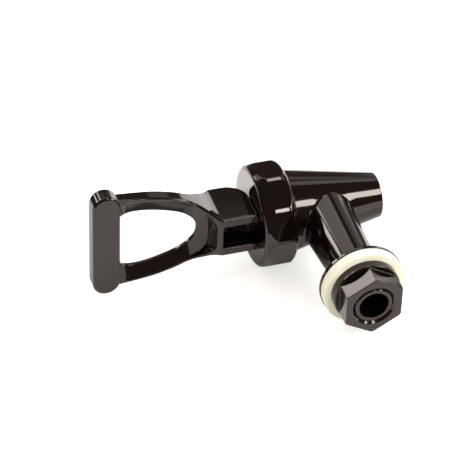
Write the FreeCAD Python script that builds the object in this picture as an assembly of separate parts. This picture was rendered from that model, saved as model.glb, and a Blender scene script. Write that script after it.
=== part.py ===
import FreeCAD, Part
import math
import os
from FreeCAD import Vector

# Drinks-dispenser faucet: a tapered barrel with a side shank, a ten-sided bonnet, and a D-grip handle
# that tips forward on a cam and lifts a silicone seat cup off the outlet.
# Millimetres. Z is the barrel's axis, up to the handle. Y is the shank's axis, back through the wall.
# X is the handle pin's axis. The row's origin is where the shank's axis meets the wall's front face.

# Body: barrel, neck, shank and flange
shank_reach = 64.8
collar_step = 1.0
collar_z = 17.7
outlet_wall = 2.5
outlet_drop = 29.1
body_wall = 3.0
outlet_bore_r = 8.6
outlet_edge_round = 0.6
seat_z = -8.0
seat_lip_h = 1.2
seat_lip_w = 1.5
neck_r = 19.4
neck_h = 9.7
boss_root_r = 13.7
boss_tip_r = 11.0
boss_root_y = 14.0
boss_blend = 1.5
flange_r = 20.3
flange_t = 2.0
flange_round = 0.5
shank_r = 9.3
shank_bore_r = 7.2
shank_core_in = 0.8
shank_length = 13.1
shank_end_chamfer = 0.5

# Bonnet: the ten-sided cap that screws on the neck
bonnet_sides = 10
bonnet_wall = 5.4
bonnet_corner_out = 1.0
bonnet_turn_deg = 22.7
bonnet_face_in = 2.6
bonnet_shoulder_in = 0.3
bonnet_shoulder_h = 1.1
bonnet_shoulder_bulge = 0.3
bonnet_bevel_h = 4.4
bonnet_skirt_round = 4.7
bonnet_top_t = 5.4
thread_gap = 0.2
rim_gap = 0.2

# Inner works: seat cup, stem, spring, spring washer and C-ring
cup_rim_t = 2.2
cup_rim_in = 0.5
cup_draft = 0.9
cup_wall = 1.3
cup_plug_out = 0.8
cup_plug_h = 5.0
cup_plug_chamfer = 1.0
cup_waist_up = 0.5
stem_r = 3.0
stem_foot_r = 5.0
stem_foot_t = 1.8
stem_foot_cover = 1.6
stem_head_r = 4.6
stem_head_up = 5.2
stem_head_down = 5.0
stem_head_round = 1.6
ring_groove_depth = 0.7
ring_t = 0.9
ring_rise = 4.0
ring_spread = 1.4
ring_mouth = 3.5
spring_washer_r = 7.8
spring_washer_t = 1.0
spring_mean_r = 6.3
spring_wire_r = 0.6
spring_turns = 7
running_gap = 0.06
seat_gap = 0.1

# Handle: D grip, arms, flared fork and cam cheeks
cam_gap = 0.25
cam_base = 8.6
cam_steps = 6
stem_lift = 4.1
handle_open_deg = 90.0
cheek_half_x = 10.8
slot_half_x = 6.3
slot_above_pin = 8.35
slot_corner_r = 1.2
slot_edge = 0.5
fork_floor_t = 2.0
shoulder_above_pin = 9.2
flare_h = 17.0
arm_half_y = 3.2
arm_top_half_x = 26.2
grip_above_pin = 63.65
grip_width = 13.4
grip_depth = 8.6
grip_overhang = 2.8
arm_width = 10.0
arm_rim_half_y = 0.9
arm_rim_edge = 0.4
ridge_w = 1.8
bead_w = 0.8
bead_h = 0.35
dish_floor = 5.2
pocket_lean = 3.0
pocket_edge = 0.4
handle_edge = 0.9
grip_edge = 1.2

# Shapes of the handle's curves, as fractions of their own rise and spread
arm_curve = [(0, 0), (0.073, 0.135), (0.128, 0.262), (0.183, 0.368), (0.238, 0.468), (0.348, 0.636),
             (0.458, 0.75), (0.568, 0.838), (0.679, 0.89), (0.789, 0.929), (1, 1)]
flare_curve = [(0, 1), (0.11, 0.83), (0.232, 0.625), (0.409, 0.39), (0.585, 0.195), (0.762, 0.06), (1, 0)]
hole_curve = [(0, 0.8), (0.031, 0.9), (0.083, 0.965), (0.203, 1), (0.359, 0.966), (0.516, 0.885),
              (0.672, 0.772), (0.802, 0.642), (0.898, 0.48), (0.95, 0.35), (0.98, 0.235), (0.996, 0.12),
              (1, 0)]
dish_curve = [(0, 0.7), (0.011, 0.84), (0.057, 0.95), (0.156, 0.971), (0.294, 0.939), (0.415, 0.904),
              (0.546, 0.844), (0.683, 0.758), (0.81, 0.652), (0.901, 0.545), (0.963, 0.418),
              (0.993, 0.246), (1, 0)]
pocket_curve = [(0, 0.7), (0.011, 0.84), (0.053, 0.95), (0.146, 0.971), (0.274, 0.939), (0.387, 0.904),
                (0.51, 0.844), (0.638, 0.758), (0.767, 0.66), (0.876, 0.555), (0.961, 0.434),
                (0.996, 0.3), (1, 0)]

# Handle pin, blind in both cheeks
pin_r = 1.6
pin_bite = 2.6

# Seal washer and shank nut
washer_r = 19.9
washer_t = 4.5
washer_edge = 0.4
washer_gap = 0.15
nut_flange_r = 16.3
nut_flange_t = 4.4
nut_sides = 6
nut_flats = 27.3
nut_height = 13.6
nut_mouth_chamfer = 1.3
nut_corner_chamfer = 0.4
nut_edge = 0.4

# How near an edge must lie to be picked for rounding, and how far cutters run past what they cut
pick = 0.01
overrun = 1.0

# Places and sizes worked out from those above
collar_r = neck_r + collar_step
outlet_tip_r = outlet_bore_r + outlet_wall
lip_r = outlet_bore_r + seat_lip_w
bonnet_flat_r = neck_r + thread_gap + bonnet_wall
bonnet_corner_r = bonnet_flat_r + bonnet_corner_out
bonnet_face_r = bonnet_flat_r - bonnet_face_in
bonnet_shoulder_r = bonnet_flat_r - bonnet_shoulder_in
cup_rim_r = neck_r - cup_rim_in
cup_plug_r = lip_r + cup_plug_out
neck_top_z = collar_z + neck_h
ceiling_z = neck_top_z + cup_rim_t
face_z = ceiling_z + bonnet_top_t
pin_z = face_z + cam_gap + cam_base
taper = (collar_r - outlet_tip_r) / (collar_z + outlet_drop)
handle_open = math.radians(handle_open_deg)
cam_lift_per_rad = stem_lift / handle_open
cheek_half_y = cam_base + stem_lift
cheek_low_z = pin_z - cam_base
shoulder_z = pin_z + shoulder_above_pin
grip_z = pin_z + grip_above_pin
grip_half_x = arm_top_half_x + grip_overhang
hole_half_x = arm_top_half_x - arm_width
dish_half_x = arm_top_half_x - ridge_w
hole_top_z = grip_z - grip_width / 2
pocket_height = hole_top_z - (pin_z + slot_above_pin + fork_floor_t)
dish_height = pocket_height - pocket_lean
hole_height = dish_height - dish_floor
flange_y = shank_reach - washer_t
shank_end_y = shank_reach + shank_length


def revolved(points):
    """Turn a closed outline of (radius, height) points about Z."""
    corners = [Vector(r, 0, z) for r, z in points]
    face = Part.Face(Part.makePolygon(corners + corners[:1]))
    return face.revolve(Vector(0, 0, 0), Vector(0, 0, 1), 360)


def upright(radius, low, high):
    """A cylinder on the Z axis between two heights."""
    return Part.makeCylinder(radius, high - low, Vector(0, 0, low))


def along_y(radius, near, far):
    """A cylinder on the Y axis between two reaches."""
    return Part.makeCylinder(radius, far - near, Vector(0, near, 0), Vector(0, 1, 0))


def across_x(radius, half_length, z):
    """A cylinder across the handle, centred on the barrel's axis."""
    return Part.makeCylinder(radius, 2 * half_length, Vector(-half_length, 0, z), Vector(1, 0, 0))


def box_about(half_x, half_y, low, high):
    """A box centred on the Z axis."""
    return Part.makeBox(2 * half_x, 2 * half_y, high - low, Vector(-half_x, -half_y, low))


def barrel_r(z):
    """The barrel's outer radius at a height."""
    return collar_r - taper * (collar_z - z)


def edges_where(shape, test):
    """The edges whose middle point and edge pass a test."""
    return [e for e in shape.Edges if test(e.valueAt((e.FirstParameter + e.LastParameter) / 2), e)]


def is_ring(edge, radius, height, axis="z"):
    """True for a full circle of this radius at this height along an axis."""
    if not isinstance(edge.Curve, Part.Circle):
        return False
    centre = getattr(edge.Curve.Center, axis)
    return abs(edge.Curve.Radius - radius) < pick and abs(centre - height) < pick


def round_ring(shape, size, radius, height, axis="z"):
    """Round one circular edge of a shape."""
    return shape.makeFillet(size, edges_where(shape, lambda p, e: is_ring(e, radius, height, axis)))


def chamfer_ring(shape, size, radius, height, axis="z"):
    """Chamfer one circular edge of a shape."""
    return shape.makeChamfer(size, edges_where(shape, lambda p, e: is_ring(e, radius, height, axis)))


def barrel():
    """The tapered outside of the body, with the plain collar and the threaded neck's core."""
    outside = [(0, -outlet_drop), (outlet_tip_r, -outlet_drop), (collar_r, collar_z),
               (neck_r, collar_z), (neck_r, neck_top_z), (0, neck_top_z)]
    return revolved(outside)


def chamber():
    """The hollow of the body: a tapered chamber, the raised seat lip and the outlet bore."""
    floor_z = seat_z - seat_lip_h
    top_r = neck_r - body_wall
    space = [(0, seat_z), (lip_r, seat_z), (lip_r, floor_z), (barrel_r(floor_z) - body_wall, floor_z),
             (top_r, collar_z - body_wall), (top_r, neck_top_z), (0, neck_top_z)]
    return revolved(space).fuse(upright(outlet_bore_r, -outlet_drop, seat_z))


def shank():
    """The side tube: a tapered boss, the flange that backs the seal and the threaded end."""
    front_y = flange_y - flange_t
    narrowing = (boss_root_r - boss_tip_r) / (front_y - boss_root_y)
    boss_axis_r = boss_root_r + narrowing * boss_root_y
    boss = Part.makeCone(boss_axis_r, boss_tip_r, front_y, Vector(0, 0, 0), Vector(0, 1, 0))
    flange = round_ring(along_y(flange_r, front_y, flange_y), flange_round, flange_r, front_y, "y")
    thread = chamfer_ring(along_y(shank_r, 0, shank_end_y), shank_end_chamfer, shank_r, shank_end_y, "y")
    return boss.fuse([flange, thread]).removeSplitter()


def body():
    """Barrel and shank as one moulding, hollowed after they are joined; the shank's core has some draft."""
    solid = barrel().fuse(shank()).removeSplitter()
    joint = edges_where(solid, lambda p, e: not isinstance(e.Curve, (Part.Circle, Part.Line)) and p.y > 0)
    solid = solid.makeFillet(boss_blend, joint)
    inner_r = shank_bore_r - shank_core_in
    core = Part.makeCone(inner_r, shank_bore_r, flange_y, Vector(0, 0, 0), Vector(0, 1, 0))
    solid = solid.cut(chamber()).cut(core).cut(along_y(shank_bore_r, flange_y, shank_end_y))
    return round_ring(solid, outlet_edge_round, outlet_tip_r, -outlet_drop)


def bonnet_outside():
    """The bonnet's turned form: rounded skirt, plain corners, bevel, shoulder and flat face."""
    skirt_z = collar_z + rim_gap
    low_z = skirt_z + bonnet_skirt_round
    shoulder_z = face_z - bonnet_shoulder_h
    rim_r = bonnet_corner_r - bonnet_skirt_round
    half_turn = math.sqrt(0.5) * bonnet_skirt_round
    skirt_mid = Vector(rim_r + half_turn, 0, low_z - half_turn)
    bevel_z = shoulder_z - bonnet_bevel_h
    points = [Vector(0, 0, skirt_z), Vector(rim_r, 0, skirt_z), Vector(bonnet_corner_r, 0, low_z),
              Vector(bonnet_corner_r, 0, bevel_z), Vector(bonnet_shoulder_r, 0, shoulder_z),
              Vector(bonnet_face_r, 0, face_z), Vector(0, 0, face_z)]
    outward = Vector(bonnet_shoulder_h, 0, bonnet_shoulder_r - bonnet_face_r).normalize()
    shoulder_mid = (points[4] + points[5]) * 0.5 + outward * bonnet_shoulder_bulge
    skirt = Part.Arc(points[1], skirt_mid, points[2]).toShape()
    shoulder = Part.Arc(points[4], shoulder_mid, points[5]).toShape()
    outline = Part.Wire([Part.makeLine(points[0], points[1]), skirt, Part.makeLine(points[2], points[3]),
                         Part.makeLine(points[3], points[4]), shoulder, Part.makeLine(points[5], points[6]),
                         Part.makeLine(points[6], points[0])])
    return Part.Face(outline).revolve(Vector(0, 0, 0), Vector(0, 0, 1), 360)


def bonnet():
    """The ten-sided cap: flats cut on the turned form, hollow below, with a stem hole on its axis."""
    corner_r = bonnet_flat_r / math.cos(math.pi / bonnet_sides)
    start = math.radians(bonnet_turn_deg)
    turns = [start + 2 * math.pi * i / bonnet_sides for i in range(bonnet_sides + 1)]
    corners = [Vector(corner_r * math.cos(a), corner_r * math.sin(a), collar_z) for a in turns]
    flats = Part.Face(Part.makePolygon(corners)).extrude(Vector(0, 0, face_z - collar_z))
    inside = upright(neck_r + thread_gap, collar_z, ceiling_z)
    stem_hole = upright(stem_r + running_gap, ceiling_z, face_z)
    return bonnet_outside().common(flats).cut(inside).cut(stem_hole)


def seat_cup():
    """The silicone bell: a clamped rim, a wall that is narrow past the shank's bore, and a solid plug."""
    plug_top = seat_z + cup_plug_h
    foot_z = seat_z + stem_foot_cover
    belly_z = collar_z - body_wall
    top_r = neck_r - body_wall - seat_gap
    belly_r = top_r - cup_draft
    waist_z = shank_bore_r + cup_waist_up
    bell = [(0, seat_z), (cup_plug_r - cup_plug_chamfer, seat_z), (cup_plug_r, seat_z + cup_plug_chamfer),
            (cup_plug_r, waist_z), (belly_r, belly_z), (top_r, neck_top_z), (cup_rim_r, neck_top_z),
            (cup_rim_r, ceiling_z), (top_r - cup_wall, ceiling_z), (belly_r - cup_wall, belly_z),
            (cup_plug_r - cup_wall, waist_z), (cup_plug_r - cup_wall, plug_top), (0, plug_top)]
    pocket = upright(stem_foot_r + seat_gap, foot_z, foot_z + stem_foot_t + 2 * seat_gap)
    neck = upright(stem_r + seat_gap, foot_z, plug_top)
    return revolved(bell).cut(pocket.fuse(neck))


def ring_z():
    """The height of the C-ring's underside on the stem."""
    return seat_z + cup_plug_h + ring_rise


def spring_bottom():
    """Where the spring stands, on top of its washer."""
    return ring_z() + ring_t + spring_washer_t


def stem():
    """The turned stem: foot in the cup, ring groove, plain shaft, and a head round the handle pin."""
    foot_z = seat_z + stem_foot_cover + seat_gap
    groove_r = stem_r - ring_groove_depth
    head_low, head_high = pin_z - stem_head_down, pin_z + stem_head_up
    shaft = upright(stem_r, foot_z, pin_z)
    foot = upright(stem_foot_r, foot_z, foot_z + stem_foot_t)
    head = upright(stem_head_r, head_low, head_high)
    head = round_ring(head, stem_head_round, stem_head_r, head_high)
    head = round_ring(head, stem_head_round, stem_head_r, head_low)
    groove = upright(stem_foot_r, ring_z(), ring_z() + ring_t)
    groove = groove.cut(upright(groove_r, ring_z(), ring_z() + ring_t))
    turned = shaft.fuse([foot, head]).removeSplitter()
    return turned.cut(groove).cut(across_x(pin_r + running_gap, stem_head_r + overrun, pin_z))


def stem_c_ring():
    """The open ring that snaps in the stem's groove and carries the spring washer."""
    inner = stem_r - ring_groove_depth + running_gap
    outer = stem_r + ring_spread
    ring = upright(outer, ring_z(), ring_z() + ring_t).cut(upright(inner, ring_z(), ring_z() + ring_t))
    mouth = Part.makeBox(outer + overrun, ring_mouth, ring_t, Vector(0, -ring_mouth / 2, ring_z()))
    return ring.cut(mouth)


def spring_washer():
    """The flat washer between the C-ring and the spring."""
    low = ring_z() + ring_t
    disc = upright(spring_washer_r, low, low + spring_washer_t)
    return disc.cut(upright(stem_r + seat_gap, low, low + spring_washer_t))


def spring():
    """The closing spring, from its washer up to the bonnet's ceiling."""
    low = spring_bottom() + seat_gap + spring_wire_r
    height = ceiling_z - seat_gap - spring_wire_r - low
    path = Part.makeHelix(height / spring_turns, height, spring_mean_r)
    section = Part.Wire(Part.makeCircle(spring_wire_r, Vector(spring_mean_r, 0, 0), Vector(0, 1, 0)))
    coil = Part.Wire(path.Edges).makePipeShell([section], True, True)
    return coil.translated(Vector(0, 0, low))


def seal_washer():
    """The pale seal between the flange and the wall."""
    ring = along_y(washer_r, flange_y, shank_reach)
    ring = round_ring(ring, washer_edge, washer_r, shank_reach, "y")
    return ring.cut(along_y(shank_r + washer_gap, flange_y, shank_reach))


def shank_nut():
    """The flanged hexagon nut, with chamfered corners and a countersunk mouth."""
    end = shank_reach + nut_height
    flange_end = shank_reach + nut_flange_t
    hole_r = shank_r + washer_gap
    corner_r = nut_flats / 2 / math.cos(math.pi / nut_sides)
    turns = [2 * math.pi * i / nut_sides for i in range(nut_sides + 1)]
    corners = [Vector(corner_r * math.cos(a), shank_reach, corner_r * math.sin(a)) for a in turns]
    hexagon = Part.Face(Part.makePolygon(corners)).extrude(Vector(0, nut_height, 0))
    round_off = chamfer_ring(along_y(corner_r, shank_reach, end), nut_corner_chamfer, corner_r, end, "y")
    flange = along_y(nut_flange_r, shank_reach, flange_end)
    flange = round_ring(flange, nut_edge, nut_flange_r, flange_end, "y")
    blank = hexagon.common(round_off).fuse(flange).removeSplitter()
    mouth = Part.makeCone(hole_r, hole_r + nut_mouth_chamfer, nut_mouth_chamfer,
                          Vector(0, end - nut_mouth_chamfer, 0), Vector(0, 1, 0))
    return blank.cut(along_y(hole_r, shank_reach, end)).cut(mouth)


def handle_pin():
    """The plain pin through the stem's head, blind in both cheeks."""
    return across_x(pin_r, slot_half_x + pin_bite, pin_z)


def curve_through(points):
    """A smooth edge through a few points."""
    curve = Part.BSplineCurve()
    curve.interpolate(points)
    return curve.toShape()


def handle_front_view():
    """The arms and fork seen from the front, as a prism deeper than the handle."""
    deep = cheek_half_y + overrun
    low = cheek_low_z - overrun
    rise, spread = grip_z - shoulder_z, arm_top_half_x - cheek_half_x
    right = [Vector(cheek_half_x + spread * x, -deep, shoulder_z + rise * z) for z, x in arm_curve]
    left = [Vector(-p.x, p.y, p.z) for p in right[::-1]]
    base = [Vector(-cheek_half_x, -deep, low), Vector(cheek_half_x, -deep, low)]
    outline = Part.Wire([Part.makeLine(base[0], base[1]), Part.makeLine(base[1], right[0]),
                         curve_through(right), Part.makeLine(right[-1], left[0]), curve_through(left),
                         Part.makeLine(left[-1], base[0])])
    return Part.Face(outline).extrude(Vector(0, 2 * deep, 0))


def cam_point(turn):
    """The point of the cheek that faces the bonnet when the handle has tipped this far."""
    reach = cam_base + cam_lift_per_rad * turn
    y = -reach * math.sin(turn) - cam_lift_per_rad * math.cos(turn)
    z = -reach * math.cos(turn) + cam_lift_per_rad * math.sin(turn)
    return Vector(0, y, pin_z + z)


def handle_side_view():
    """The handle seen along its pin: thin arms, flared fork and the cam, as a prism across X."""
    spread = cheek_half_y - arm_half_y
    back = [Vector(0, arm_half_y + spread * y, shoulder_z + flare_h * z) for z, y in flare_curve]
    front = [Vector(0, -p.y, p.z) for p in back]
    heel = Vector(0, cheek_half_y, cheek_low_z)
    cam = [cam_point(handle_open * i / cam_steps) for i in range(cam_steps + 1)]
    top = [Vector(0, -arm_half_y, grip_z), Vector(0, arm_half_y, grip_z)]
    outline = Part.Wire([Part.makeLine(heel, cam[0]), curve_through(cam), Part.makeLine(cam[-1], front[0]),
                         curve_through(front), Part.makeLine(front[-1], top[0]),
                         Part.makeLine(top[0], top[1]), Part.makeLine(top[1], back[-1]),
                         curve_through(back[::-1]), Part.makeLine(back[0], heel)])
    prism = Part.Face(outline).extrude(Vector(2 * grip_half_x, 0, 0))
    return prism.translated(Vector(-grip_half_x, 0, 0))


def arms():
    """The two views crossed, with the long outer edges and the cheeks' edges rounded."""
    crossed = handle_front_view().common(handle_side_view())

    def outer(p, e):
        on_cheek = abs(abs(p.x) - cheek_half_x) < pick and p.z < shoulder_z - pick
        on_arm = shoulder_z + pick < p.z < grip_z - pick and abs(p.x) > cheek_half_x
        return on_cheek or on_arm and e.Length > 2 * arm_half_y
    return crossed.makeFillet(handle_edge, edges_where(crossed, outer))


def d_outline(curve, half_x, height, y):
    """A closed D outline below the grip, from fractions of its half width and height, at one depth."""
    right = [Vector(half_x * x, y, hole_top_z - height * z) for z, x in curve]
    left = [Vector(-p.x, p.y, p.z) for p in right[-2::-1]]
    return Part.Wire([curve_through(right + left), Part.makeLine(left[-1], right[0])])


def finger_hole():
    """The opening between the arms, as a prism through the handle."""
    deep = cheek_half_y + overrun
    outline = d_outline(hole_curve, hole_half_x, hole_height, -deep)
    return Part.Face(outline).extrude(Vector(0, 2 * deep, 0))


def dish():
    """The hollow in the arms' back face, deepest at the hole's rim, with the pocket above the fork."""
    rim = d_outline(hole_curve, hole_half_x, hole_height, arm_rim_half_y)
    bead = d_outline(dish_curve, dish_half_x - bead_w, dish_height - bead_w, arm_half_y - bead_h)
    ridge = d_outline(dish_curve, dish_half_x, dish_height, arm_half_y)
    mouth = d_outline(pocket_curve, dish_half_x, pocket_height, cheek_half_y + overrun)
    return Part.makeLoft([rim, bead, ridge, mouth], True, True)


def fork_slot():
    """The slot that the stem's head stands in, open to the front, the back and below."""
    top = pin_z + slot_above_pin
    slot = box_about(slot_half_x, cheek_half_y + overrun, cheek_low_z - overrun, top)
    corners = edges_where(slot, lambda p, e: abs(p.z - top) < pick and abs(abs(p.x) - slot_half_x) < pick)
    return slot.makeFillet(slot_corner_r, corners)


def grip_bar():
    """The D grip's bar: flat faces front and back, round ends and eased rims."""
    half_z, half_y = grip_width / 2, grip_depth / 2
    reach = grip_half_x - half_z
    ends = [Part.makeCylinder(half_z, grip_depth, Vector(x, -half_y, grip_z), Vector(0, 1, 0))
            for x in (-reach, reach)]
    bar = box_about(reach, half_y, grip_z - half_z, grip_z + half_z).fuse(ends).removeSplitter()
    return bar.makeFillet(grip_edge, edges_where(bar, lambda p, e: abs(abs(p.y) - half_y) < pick))


def handle():
    """One moulding: arms, finger hole and dishes, then the grip, the slot and the pin sockets."""
    hollow, slot = dish(), fork_slot()
    hollows = hollow.fuse(hollow.mirror(Vector(0, 0, 0), Vector(0, 1, 0)))
    frame = arms().cut(finger_hole()).cut(hollows).cut(slot)

    def rim(p, e):
        return abs(abs(p.y) - arm_rim_half_y) < pick and p.z < hole_top_z - pick and e.Length > hole_half_x

    def mouth(p, e):
        on_flare = arm_half_y + pick < abs(p.y) < cheek_half_y - pick
        return on_flare and abs(p.x) < pick and e.Length > hole_half_x

    def slot_mouth(p, e):
        outward = abs(p.y) > arm_half_y and p.z > cheek_low_z + pick
        return outward and slot.Shells[0].distToShape(Part.Vertex(p))[0] < pick
    for size, test in [(arm_rim_edge, rim), (pocket_edge, mouth), (slot_edge, slot_mouth)]:
        frame = frame.makeFillet(size, edges_where(frame, test))
    solid = frame.fuse(grip_bar())
    return solid.cut(across_x(pin_r + running_gap, slot_half_x + pin_bite + seat_gap, pin_z)).removeSplitter()


def save(node, shape):
    """Move a piece from the barrel's axis to the row's origin at the wall, and write it."""
    shape.translated(Vector(0, -shank_reach, 0)).exportStep("parts/%s.step" % node)


os.makedirs("parts", exist_ok=True)
for node, make in [("body", body), ("bonnet", bonnet), ("seat_cup", seat_cup), ("stem", stem),
                   ("stem_c_ring", stem_c_ring), ("spring_washer", spring_washer), ("spring", spring),
                   ("handle", handle), ("handle_pin", handle_pin), ("seal_washer", seal_washer),
                   ("shank_nut", shank_nut)]:
    save(node, make())
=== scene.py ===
import bpy
import math
from mathutils import Matrix, Vector


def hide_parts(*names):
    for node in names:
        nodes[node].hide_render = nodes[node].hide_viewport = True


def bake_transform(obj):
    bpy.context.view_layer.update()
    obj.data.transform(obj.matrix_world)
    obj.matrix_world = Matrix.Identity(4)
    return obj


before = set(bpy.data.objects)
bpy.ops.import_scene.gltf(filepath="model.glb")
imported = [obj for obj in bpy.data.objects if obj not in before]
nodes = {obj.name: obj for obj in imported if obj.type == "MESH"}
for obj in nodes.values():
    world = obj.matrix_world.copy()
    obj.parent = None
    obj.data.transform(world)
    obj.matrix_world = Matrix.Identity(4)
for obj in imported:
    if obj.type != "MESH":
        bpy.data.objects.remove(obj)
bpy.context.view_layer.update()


# Body
# Tapered barrel, collar, side shank and flange are one injection moulding in glossy brown-black
# plastic. The shank passes through the dispenser's wall, and the bonnet screws on the neck.
polished_black, polished_roughness = (0.0042, 0.0024, 0.0019), 0.045
plastic_ior, plastic_reflection = 1.52, (1.0, 0.86, 0.81, 1.0)
edge_radius, wave_height = 0.0007, 0.0006
drift_tone, marks_depth = (0.72, 0.7, 0.68, 1.0), 0.035

# All the mouldings share one gloss. The colour drifts a little, fine handling marks vary the
# roughness, the surface is faintly wavy, and sharp edges are rounded in the shading. Lean is a
# direction that is added to the normals.
gloss = bpy.data.node_groups.new("moulded_gloss", "ShaderNodeTree")
for socket, way, kind in [
    ("Colour", "INPUT", "NodeSocketColor"),
    ("Roughness", "INPUT", "NodeSocketFloat"),
    ("Waviness", "INPUT", "NodeSocketFloat"),
    ("Lean", "INPUT", "NodeSocketVector"),
    ("Colour", "OUTPUT", "NodeSocketColor"),
    ("Roughness", "OUTPUT", "NodeSocketFloat"),
    ("Normal", "OUTPUT", "NodeSocketVector"),
]:
    gloss.interface.new_socket(socket, in_out=way, socket_type=kind)
gloss_in = gloss.nodes.new("NodeGroupInput")
gloss_out = gloss.nodes.new("NodeGroupOutput")
gloss_place = gloss.nodes.new("ShaderNodeTexCoord")
drift = gloss.nodes.new("ShaderNodeTexNoise")
drift.inputs["Scale"].default_value = 60.0
drift.inputs["Detail"].default_value = 3.0
drifted = gloss.nodes.new("ShaderNodeMix")
drifted.data_type = "RGBA"
drifted.blend_type = "MULTIPLY"
drifted.inputs["B"].default_value = drift_tone
marks = gloss.nodes.new("ShaderNodeTexNoise")
marks.inputs["Scale"].default_value = 420.0
marks.inputs["Detail"].default_value = 6.0
marked = gloss.nodes.new("ShaderNodeMath")
marked.operation = "MULTIPLY_ADD"
marked.inputs[1].default_value = marks_depth
wave = gloss.nodes.new("ShaderNodeTexNoise")
wave.inputs["Scale"].default_value = 95.0
wave.inputs["Detail"].default_value = 1.0
waved = gloss.nodes.new("ShaderNodeBump")
waved.inputs["Distance"].default_value = wave_height
rounded = gloss.nodes.new("ShaderNodeBevel")
rounded.samples = 6
rounded.inputs["Radius"].default_value = edge_radius
leaned = gloss.nodes.new("ShaderNodeVectorMath")
leaned.operation = "ADD"
leaned_unit = gloss.nodes.new("ShaderNodeVectorMath")
leaned_unit.operation = "NORMALIZE"
for source, target in [
    (gloss_place.outputs["Object"], drift.inputs["Vector"]),
    (gloss_place.outputs["Object"], marks.inputs["Vector"]),
    (gloss_place.outputs["Object"], wave.inputs["Vector"]),
    (drift.outputs["Fac"], drifted.inputs["Factor"]),
    (gloss_in.outputs["Colour"], drifted.inputs["A"]),
    (drifted.outputs["Result"], gloss_out.inputs["Colour"]),
    (marks.outputs["Fac"], marked.inputs[0]),
    (gloss_in.outputs["Roughness"], marked.inputs[2]),
    (marked.outputs["Value"], gloss_out.inputs["Roughness"]),
    (rounded.outputs["Normal"], leaned.inputs[0]),
    (gloss_in.outputs["Lean"], leaned.inputs[1]),
    (leaned.outputs["Vector"], leaned_unit.inputs[0]),
    (leaned_unit.outputs["Vector"], waved.inputs["Normal"]),
    (wave.outputs["Fac"], waved.inputs["Height"]),
    (gloss_in.outputs["Waviness"], waved.inputs["Strength"]),
    (waved.outputs["Normal"], gloss_out.inputs["Normal"]),
]:
    gloss.links.new(source, target)


def moulded_plastic(name, colour, roughness, waviness):
    """Dark plastic with the shared gloss."""
    material = bpy.data.materials.new(name)
    material.use_nodes = True
    tree = material.node_tree
    plastic = tree.nodes["Principled BSDF"]
    plastic.inputs["IOR"].default_value = plastic_ior
    plastic.inputs["Specular Tint"].default_value = plastic_reflection
    surface = tree.nodes.new("ShaderNodeGroup")
    surface.name = "gloss"
    surface.node_tree = gloss
    surface.inputs["Colour"].default_value = (*colour, 1.0)
    surface.inputs["Roughness"].default_value = roughness
    surface.inputs["Waviness"].default_value = waviness
    tree.links.new(surface.outputs["Colour"], plastic.inputs["Base Color"])
    tree.links.new(surface.outputs["Roughness"], plastic.inputs["Roughness"])
    tree.links.new(surface.outputs["Normal"], plastic.inputs["Normal"])
    return material


def put_finish(piece, material):
    """Give a piece its finish and smooth it between its real edges."""
    real_edge = math.radians(30.0)
    piece.data.materials.clear()
    piece.data.materials.append(material)
    bpy.ops.object.select_all(action="DESELECT")
    piece.select_set(True)
    bpy.context.view_layer.objects.active = piece
    bpy.ops.object.shade_smooth_by_angle(angle=real_edge, keep_sharp_edges=False)


body_plastic = moulded_plastic("body_finish", polished_black, polished_roughness, waviness=0.02)
put_finish(nodes["body"], body_plastic)


# Seat cup
# A moulded bell of milky silicone. Its rim is clamped between the body's neck and the bonnet. Its plug
# is held by the stem's foot, closes the seat over the outlet, and lifts off with the stem.
stem_y = -0.0648
cup_profile = [(0.0099, -0.008), (0.0109, -0.007), (0.0109, 0.0077), (0.0154, 0.0147), (0.0163, 0.0274),
               (0.0189, 0.0274), (0.0189, 0.0296), (0.015, 0.0296), (0.0141, 0.0147), (0.0096, 0.0077),
               (0.0096, -0.003), (0.0031, -0.003), (0.0031, -0.0044), (0.0051, -0.0044), (0.0051, -0.0064)]
cup_sides = 96


def mottled_material(name, pattern_scale, stretch, tones, span, roughness):
    """A material whose colour drifts between two close tones."""
    material = bpy.data.materials.new(name)
    material.use_nodes = True
    tree = material.node_tree
    shader = tree.nodes["Principled BSDF"]
    place = tree.nodes.new("ShaderNodeTexCoord")
    grain = tree.nodes.new("ShaderNodeMapping")
    grain.inputs["Scale"].default_value = stretch
    pattern = tree.nodes.new("ShaderNodeTexNoise")
    pattern.inputs["Scale"].default_value = pattern_scale
    ramp = tree.nodes.new("ShaderNodeValToRGB")
    for stop, tone, position in zip(ramp.color_ramp.elements, tones, span):
        stop.color = (*tone, 1.0)
        stop.position = position
    tree.links.new(place.outputs["Object"], grain.inputs["Vector"])
    tree.links.new(grain.outputs["Vector"], pattern.inputs["Vector"])
    tree.links.new(pattern.outputs["Fac"], ramp.inputs["Fac"])
    tree.links.new(ramp.outputs["Color"], shader.inputs["Base Color"])
    shader.inputs["Roughness"].default_value = roughness
    return material


milky_silicone = mottled_material(
    "cup_finish", pattern_scale=160.0, stretch=(1.0, 1.0, 1.0),
    tones=[(0.62, 0.60, 0.54), (0.74, 0.72, 0.66)], span=(0.0, 1.0), roughness=0.5)
ring_r, ring_z = cup_profile[0]
bpy.ops.object.select_all(action="DESELECT")
bpy.ops.mesh.primitive_circle_add(vertices=cup_sides, radius=ring_r, fill_type="NGON",
                                  location=(0.0, 0.0, ring_z))
cup = bpy.context.object
cup.name = "soft_cup"
bpy.ops.object.transform_apply(location=True, rotation=True, scale=True)
bpy.ops.object.mode_set(mode="EDIT")
bpy.ops.mesh.select_all(action="SELECT")
for next_r, next_z in cup_profile[1:]:
    bpy.ops.mesh.extrude_region_move()
    growth = next_r / ring_r
    bpy.ops.transform.resize(value=(growth, growth, 1.0), center_override=(0.0, 0.0, ring_z))
    bpy.ops.transform.translate(value=(0.0, 0.0, next_z - ring_z))
    ring_r, ring_z = next_r, next_z
bpy.ops.mesh.select_all(action="SELECT")
bpy.ops.mesh.normals_make_consistent(inside=False)
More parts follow.
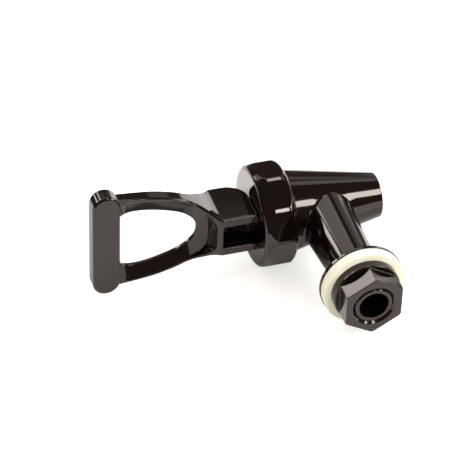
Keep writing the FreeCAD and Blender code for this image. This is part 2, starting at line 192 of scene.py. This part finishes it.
bpy.ops.transform.translate(value=(0.0, stem_y, 0.0))
bpy.ops.object.mode_set(mode="OBJECT")
put_finish(cup, milky_silicone)
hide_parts("seat_cup")
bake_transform(cup)


# Stem
# A turned stem with a groove for the ring and a foot that holds the cup. Its head stands in the
# handle's fork. It is painted dull black like the mouldings round it, as painted shade for the dark inside
# the fork's slot.
# Painted shade: the stem is coloured black to stand for the dark inside the fork's slot.
stem_painted_shade = moulded_plastic("stem_painted_shade_finish", colour=(0.003, 0.002, 0.002), roughness=0.4, waviness=0.02)
put_finish(nodes["stem"], stem_painted_shade)


# C-ring and spring washer
# An open ring snapped in the stem's groove and a flat washer that lies on it, both of stainless steel
# with fine turning marks. They carry the spring's push to the stem.
steel = mottled_material(
    "steel_finish", pattern_scale=90.0, stretch=(1.0, 1.0, 60.0),
    tones=[(0.42, 0.41, 0.39), (0.64, 0.63, 0.60)], span=(0.0, 1.0), roughness=0.28)
steel.node_tree.nodes["Principled BSDF"].inputs["Metallic"].default_value = 1.0
for name in ["stem_c_ring", "spring_washer"]:
    put_finish(nodes[name], steel)


# Spring
# A coil of stainless wire round the stem. It pushes the washer down from the bonnet's ceiling and so
# closes the seat. It is built here at one length; the real spring shortens when the stem lifts.
coil_low, coil_high, coil_r, wire_r = 0.0036, 0.0289, 0.0063, 0.0006
coil_turns, steps_a_turn, wire_sides = 7, 32, 16
bpy.ops.object.select_all(action="DESELECT")
bpy.ops.mesh.primitive_circle_add(vertices=wire_sides, radius=wire_r, location=(coil_r, 0.0, coil_low),
                                  rotation=(math.radians(90.0), 0.0, 0.0))
coil = bpy.context.object
coil.name = "spring_coil"
bpy.ops.object.transform_apply(location=True, rotation=True, scale=True)
bpy.ops.object.modifier_add(type="SCREW")
winding = coil.modifiers[0]
winding.angle = math.radians(360.0)
winding.screw_offset = (coil_high - coil_low) / coil_turns
winding.iterations = coil_turns
winding.steps = steps_a_turn
winding.render_steps = steps_a_turn
bpy.ops.object.modifier_apply(modifier=winding.name)
bpy.ops.object.mode_set(mode="EDIT")
bpy.ops.mesh.select_all(action="SELECT")
bpy.ops.mesh.fill_holes(sides=0)
bpy.ops.mesh.select_all(action="SELECT")
bpy.ops.mesh.normals_make_consistent(inside=False)
bpy.ops.transform.translate(value=(0.0, stem_y, 0.0))
bpy.ops.object.mode_set(mode="OBJECT")
put_finish(coil, steel)
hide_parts("spring")
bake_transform(coil)


# Bonnet
# A ten-sided cap, moulded in the body's glossy plastic. It screws on the body's neck, clamps the cup's
# rim and holds the spring in.
bonnet_plastic = moulded_plastic("bonnet_finish", polished_black, polished_roughness, waviness=0.015)
put_finish(nodes["bonnet"], bonnet_plastic)


# Handle
# Grip, two dished arms and a fork with two cams are one moulding, held by the pin through the stem's
# head. The arms' front and back are shaded a touch more hollow than they are, by leaning the normals
# towards the finger hole.
handled_black = (0.005, 0.003, 0.0024)
fork_top, arms_start = 0.06, 0.07
arms_end, grip_foot = 0.0975, 0.0985
lean_at_most = 0.16
turned_away, facing_front = 0.75, 0.93
grip_plastic = moulded_plastic("handle_finish", handled_black, roughness=0.06, waviness=0.02)
grip_nodes, grip_links = grip_plastic.node_tree.nodes, grip_plastic.node_tree.links
grip_coordinates = grip_nodes.new("ShaderNodeTexCoord")
grip_place = grip_nodes.new("ShaderNodeSeparateXYZ")
grip_normal = grip_nodes.new("ShaderNodeSeparateXYZ")
grip_facing = grip_nodes.new("ShaderNodeMath")
grip_facing.operation = "ABSOLUTE"
grip_side = grip_nodes.new("ShaderNodeMath")
grip_side.operation = "SIGN"
grip_links.new(grip_coordinates.outputs["Object"], grip_place.inputs["Vector"])
grip_links.new(grip_coordinates.outputs["Normal"], grip_normal.inputs["Vector"])
grip_links.new(grip_normal.outputs["Y"], grip_facing.inputs[0])
grip_links.new(grip_place.outputs["X"], grip_side.inputs[0])
lean_so_far = grip_side.outputs["Value"]
for measure, low, high, at_low, at_high in [
    (grip_place.outputs["Z"], fork_top, arms_start, 0.0, -lean_at_most),
    (grip_place.outputs["Z"], arms_end, grip_foot, 1.0, 0.0),
    (grip_facing.outputs["Value"], turned_away, facing_front, 0.0, 1.0),
]:
    fade = grip_nodes.new("ShaderNodeMapRange")
    fade.interpolation_type = "SMOOTHSTEP"
    fade.inputs["From Min"].default_value = low
    fade.inputs["From Max"].default_value = high
    fade.inputs["To Min"].default_value = at_low
    fade.inputs["To Max"].default_value = at_high
    faded = grip_nodes.new("ShaderNodeMath")
    faded.operation = "MULTIPLY"
    grip_links.new(measure, fade.inputs["Value"])
    grip_links.new(lean_so_far, faded.inputs[0])
    grip_links.new(fade.outputs["Result"], faded.inputs[1])
    lean_so_far = faded.outputs["Value"]
grip_lean = grip_nodes.new("ShaderNodeCombineXYZ")
grip_turn = grip_nodes.new("ShaderNodeVectorTransform")
grip_turn.vector_type = "VECTOR"
grip_turn.convert_from = "OBJECT"
grip_turn.convert_to = "WORLD"
grip_links.new(lean_so_far, grip_lean.inputs["X"])
grip_links.new(grip_lean.outputs["Vector"], grip_turn.inputs["Vector"])
grip_links.new(grip_turn.outputs["Vector"], grip_nodes["gloss"].inputs["Lean"])
put_finish(nodes["handle"], grip_plastic)


# Handle pin
# A plain pin across the fork, painted dull black as painted shade for the dark inside the fork's slot. It
# passes through the stem's head and ends in blind sockets in the two cheeks.
# Painted shade: the pin is coloured black to stand for the dark inside the fork's slot.
pin_painted_shade = moulded_plastic("pin_painted_shade_finish", colour=(0.004, 0.003, 0.003), roughness=0.35, waviness=0.01)
put_finish(nodes["handle_pin"], pin_painted_shade)


# Seal washer
# A flat ring of cream silicone with a soft sheen, which lets a little light in. It is squeezed between
# the flange and the dispenser's wall.
cream_silicone = mottled_material(
    "seal_finish", pattern_scale=140.0, stretch=(1.0, 1.0, 1.0),
    tones=[(0.97, 0.90, 0.68), (0.99, 0.95, 0.78)], span=(0.35, 0.7), roughness=0.45)
cream_shader = cream_silicone.node_tree.nodes["Principled BSDF"]
cream_shader.inputs["Subsurface Weight"].default_value = 0.25
cream_shader.inputs["Subsurface Radius"].default_value = (1.0, 0.7, 0.45)
cream_shader.inputs["Subsurface Scale"].default_value = 0.002
put_finish(nodes["seal_washer"], cream_silicone)


# Shank nut
# A flanged hexagon nut, moulded in the handle's plastic with a slightly duller surface. It screws on
# the shank's end and pulls the seal tight.
nut_plastic = moulded_plastic("nut_finish", handled_black, roughness=0.08, waviness=0.02)
put_finish(nodes["shank_nut"], nut_plastic)


# Table
# A white table top that the grip, the bonnet and the flange lie on, clear from below. The camera sees
# it nearly white. Mirrored in the gloss, its glow has painted shade in a band close behind the part,
# where the part's shadow falls, and a painted light patch further off.
table_up = Vector((-1.0, -0.0804, 0.0366)).normalized()
table_point = Vector((0.029, -0.0648, 0.1075))
across = Vector((-0.0803, 0.2575, -0.9629))
away = table_up.cross(across).normalized()
across = away.cross(table_up).normalized()
table_width, table_depth = 0.8, 0.98
table_middle = table_point + across * 0.025 + away * 0.31
seen_glow, mirrored_glow = 0.65, 1.15
band_start, band_length = -0.05, 0.2
even_level = 0.56
bpy.ops.object.select_all(action="DESELECT")
bpy.ops.mesh.primitive_plane_add(size=1.0)
table = bpy.context.object
table.name = "table"
table.matrix_world = (Matrix.Translation(table_middle)
                      @ Matrix((across, away, table_up)).transposed().to_4x4()
                      @ Matrix.Diagonal((table_width, table_depth, 1.0, 1.0)))
bpy.ops.object.transform_apply(location=True, rotation=True, scale=True)
white = bpy.data.materials.new("table_finish")
white.use_nodes = True
white_nodes, white_links = white.node_tree.nodes, white.node_tree.links
paint = white_nodes["Principled BSDF"]
paint.inputs["Base Color"].default_value = (0.78, 0.76, 0.73, 1.0)
paint.inputs["Roughness"].default_value = 0.6
paint.inputs["Specular IOR Level"].default_value = 0.2
glow = white_nodes.new("ShaderNodeEmission")
glow.inputs["Color"].default_value = (1.0, 0.98, 0.94, 1.0)
white_place = white_nodes.new("ShaderNodeTexCoord")
depth = white_nodes.new("ShaderNodeVectorMath")
depth.operation = "DOT_PRODUCT"
depth.inputs[1].default_value = away
band_share = white_nodes.new("ShaderNodeMapRange")
band_share.inputs["From Min"].default_value = table_point.dot(away) + band_start
band_share.inputs["From Max"].default_value = table_point.dot(away) + band_start + band_length
# Along the band the glow is even, dips to painted shade close behind the part, rises to a painted light
# patch and is even again.
band = white_nodes.new("ShaderNodeValToRGB")
band_stops = band.color_ramp.elements
for stop, position in zip(band_stops, (0.22, 0.86)):
    stop.position = position
    stop.color = (even_level, even_level, even_level, 1.0)
# Painted shade at 0.02 close behind the part, painted light at 1.0 in the patch further off.
for position, level in [(0.28, 0.02), (0.56, 0.02), (0.62, 1.0), (0.76, 1.0)]:
    band_stops.new(position).color = (level, level, level, 1.0)
band_glow = white_nodes.new("ShaderNodeMath")
band_glow.operation = "MULTIPLY"
band_glow.inputs[1].default_value = mirrored_glow
glow_strength = white_nodes.new("ShaderNodeMix")
glow_strength.inputs["A"].default_value = seen_glow
glowing = white_nodes.new("ShaderNodeAddShader")
ray = white_nodes.new("ShaderNodeLightPath")
seen_or_mirrored = white_nodes.new("ShaderNodeMath")
seen_or_mirrored.operation = "MAXIMUM"
top_side = white_nodes.new("ShaderNodeMixShader")
clear = white_nodes.new("ShaderNodeBsdfTransparent")
which_side = white_nodes.new("ShaderNodeNewGeometry")
both_sides = white_nodes.new("ShaderNodeMixShader")
for source, target in [
    (white_place.outputs["Object"], depth.inputs[0]),
    (depth.outputs["Value"], band_share.inputs["Value"]),
    (band_share.outputs["Result"], band.inputs["Fac"]),
    (band.outputs["Color"], band_glow.inputs[0]),
    (ray.outputs["Is Glossy Ray"], glow_strength.inputs["Factor"]),
    (band_glow.outputs["Value"], glow_strength.inputs["B"]),
    (glow_strength.outputs["Result"], glow.inputs["Strength"]),
    (paint.outputs["BSDF"], glowing.inputs[0]),
    (glow.outputs["Emission"], glowing.inputs[1]),
    (ray.outputs["Is Camera Ray"], seen_or_mirrored.inputs[0]),
    (ray.outputs["Is Glossy Ray"], seen_or_mirrored.inputs[1]),
    (seen_or_mirrored.outputs["Value"], top_side.inputs["Fac"]),
    (paint.outputs["BSDF"], top_side.inputs[1]),
    (glowing.outputs["Shader"], top_side.inputs[2]),
    (which_side.outputs["Backfacing"], both_sides.inputs["Fac"]),
    (top_side.outputs["Shader"], both_sides.inputs[1]),
    (clear.outputs["BSDF"], both_sides.inputs[2]),
    (both_sides.outputs["Shader"], white_nodes["Material Output"].inputs["Surface"]),
]:
    white_links.new(source, target)
table.data.materials.append(white)


# Lights
# A large soft box on the right lights the part. Two boxes on the left, one beside the camera, four dim
# boards beyond the part, and a ceiling and a lamp above it give the gloss its bands.
part_middle = Vector((0.0, -0.045, 0.035))


def soft_box(name, azimuth, elevation, distance, width, height, power):
    """An area light at a bearing from the part: azimuth 0 is away from the camera, 90 is right."""
    turn, rise = math.radians(azimuth), math.radians(elevation)
    level = away * math.cos(turn) + across * math.sin(turn)
    toward = level * math.cos(rise) + table_up * math.sin(rise)
    side = table_up.cross(toward).normalized()
    top = toward.cross(side).normalized()
    data = bpy.data.lights.new(name, "AREA")
    data.shape = "RECTANGLE"
    data.size, data.size_y = width, height
    data.energy = power
    lamp = bpy.data.objects.new(name, data)
    bpy.context.scene.collection.objects.link(lamp)
    lamp.matrix_world = (Matrix.Translation(part_middle + toward * distance)
                         @ Matrix((side, top, toward)).transposed().to_4x4())


# Each box has its name, azimuth, elevation, distance, width, height and power.
for box in [
    ("box_left", -58.0, 30.0, 1.3, 0.15, 0.46, 2.2),
    ("box_left_dim", -45.0, 41.0, 1.3, 0.22, 0.22, 1.0),
    ("box_right", 97.5, 30.5, 1.3, 0.82, 0.42, 16.0),
    ("box_behind", 144.0, 33.0, 1.3, 0.2, 0.22, 2.5),
    ("board_away", 25.5, 8.5, 1.4, 0.37, 0.56, 1.9),
    ("board_mid", 33.0, 20.0, 1.5, 0.28, 0.42, 0.3),
    ("board_dim", 25.0, 34.0, 1.5, 0.55, 0.28, 0.24),
    ("board_right", 42.0, 43.0, 1.5, 0.28, 0.32, 0.34),
    ("ceiling", -19.0, 54.5, 1.5, 1.2, 0.44, 2.8),
    ("lamp_high", 25.0, 65.0, 1.5, 0.3, 0.2, 1.5),
]:
    soft_box(*box)


# World
# The room round the table is white where the camera sees it, dim and warm where the gloss mirrors it,
# and gives an even soft fill for all else.
world = bpy.data.worlds.new("room")
bpy.context.scene.world = world
world.use_nodes = True
room_nodes, room_links = world.node_tree.nodes, world.node_tree.links
room_ray = room_nodes.new("ShaderNodeLightPath")
room_seen = room_nodes["Background"]
room_mirrored = room_nodes.new("ShaderNodeBackground")
room_fill = room_nodes.new("ShaderNodeBackground")
for background, colour, strength in [
    (room_seen, (1.0, 1.0, 1.0, 1.0), 1.0),
    (room_mirrored, (1.0, 0.74, 0.62, 1.0), 0.15),
    (room_fill, (1.0, 0.99, 0.97, 1.0), 0.72),
]:
    background.inputs["Color"].default_value = colour
    background.inputs["Strength"].default_value = strength
fill_or_mirrored = room_nodes.new("ShaderNodeMixShader")
room_light = room_nodes.new("ShaderNodeMixShader")
for source, target in [
    (room_ray.outputs["Is Glossy Ray"], fill_or_mirrored.inputs["Fac"]),
    (room_fill.outputs["Background"], fill_or_mirrored.inputs[1]),
    (room_mirrored.outputs["Background"], fill_or_mirrored.inputs[2]),
    (room_ray.outputs["Is Camera Ray"], room_light.inputs["Fac"]),
    (fill_or_mirrored.outputs["Shader"], room_light.inputs[1]),
    (room_seen.outputs["Background"], room_light.inputs[2]),
    (room_light.outputs["Shader"], room_nodes["World Output"].inputs["Surface"]),
]:
    room_links.new(source, target)


# Camera
# A long lens, looking down at the part as it lies on its side. Its place and turn are fitted to the
# photo.
camera_place = Vector((-0.76469, 0.83352, 0.35182))
camera_right = Vector((-0.02743709, 0.29953742, -0.95368996))
camera_up = Vector((-0.77697364, -0.60665114, -0.1681855))
camera_back = Vector((-0.62893495, 0.73637744, 0.24937742))
bpy.ops.object.camera_add()
camera = bpy.context.object
camera.data.sensor_width = 36.0
camera.data.lens = 203.3
camera.data.clip_start = 0.05
camera.data.clip_end = 20.0
camera.matrix_world = (Matrix.Translation(camera_place)
                       @ Matrix((camera_right, camera_up, camera_back)).transposed().to_4x4())
bpy.context.scene.camera = camera
bpy.context.scene.view_settings.view_transform = "Standard"
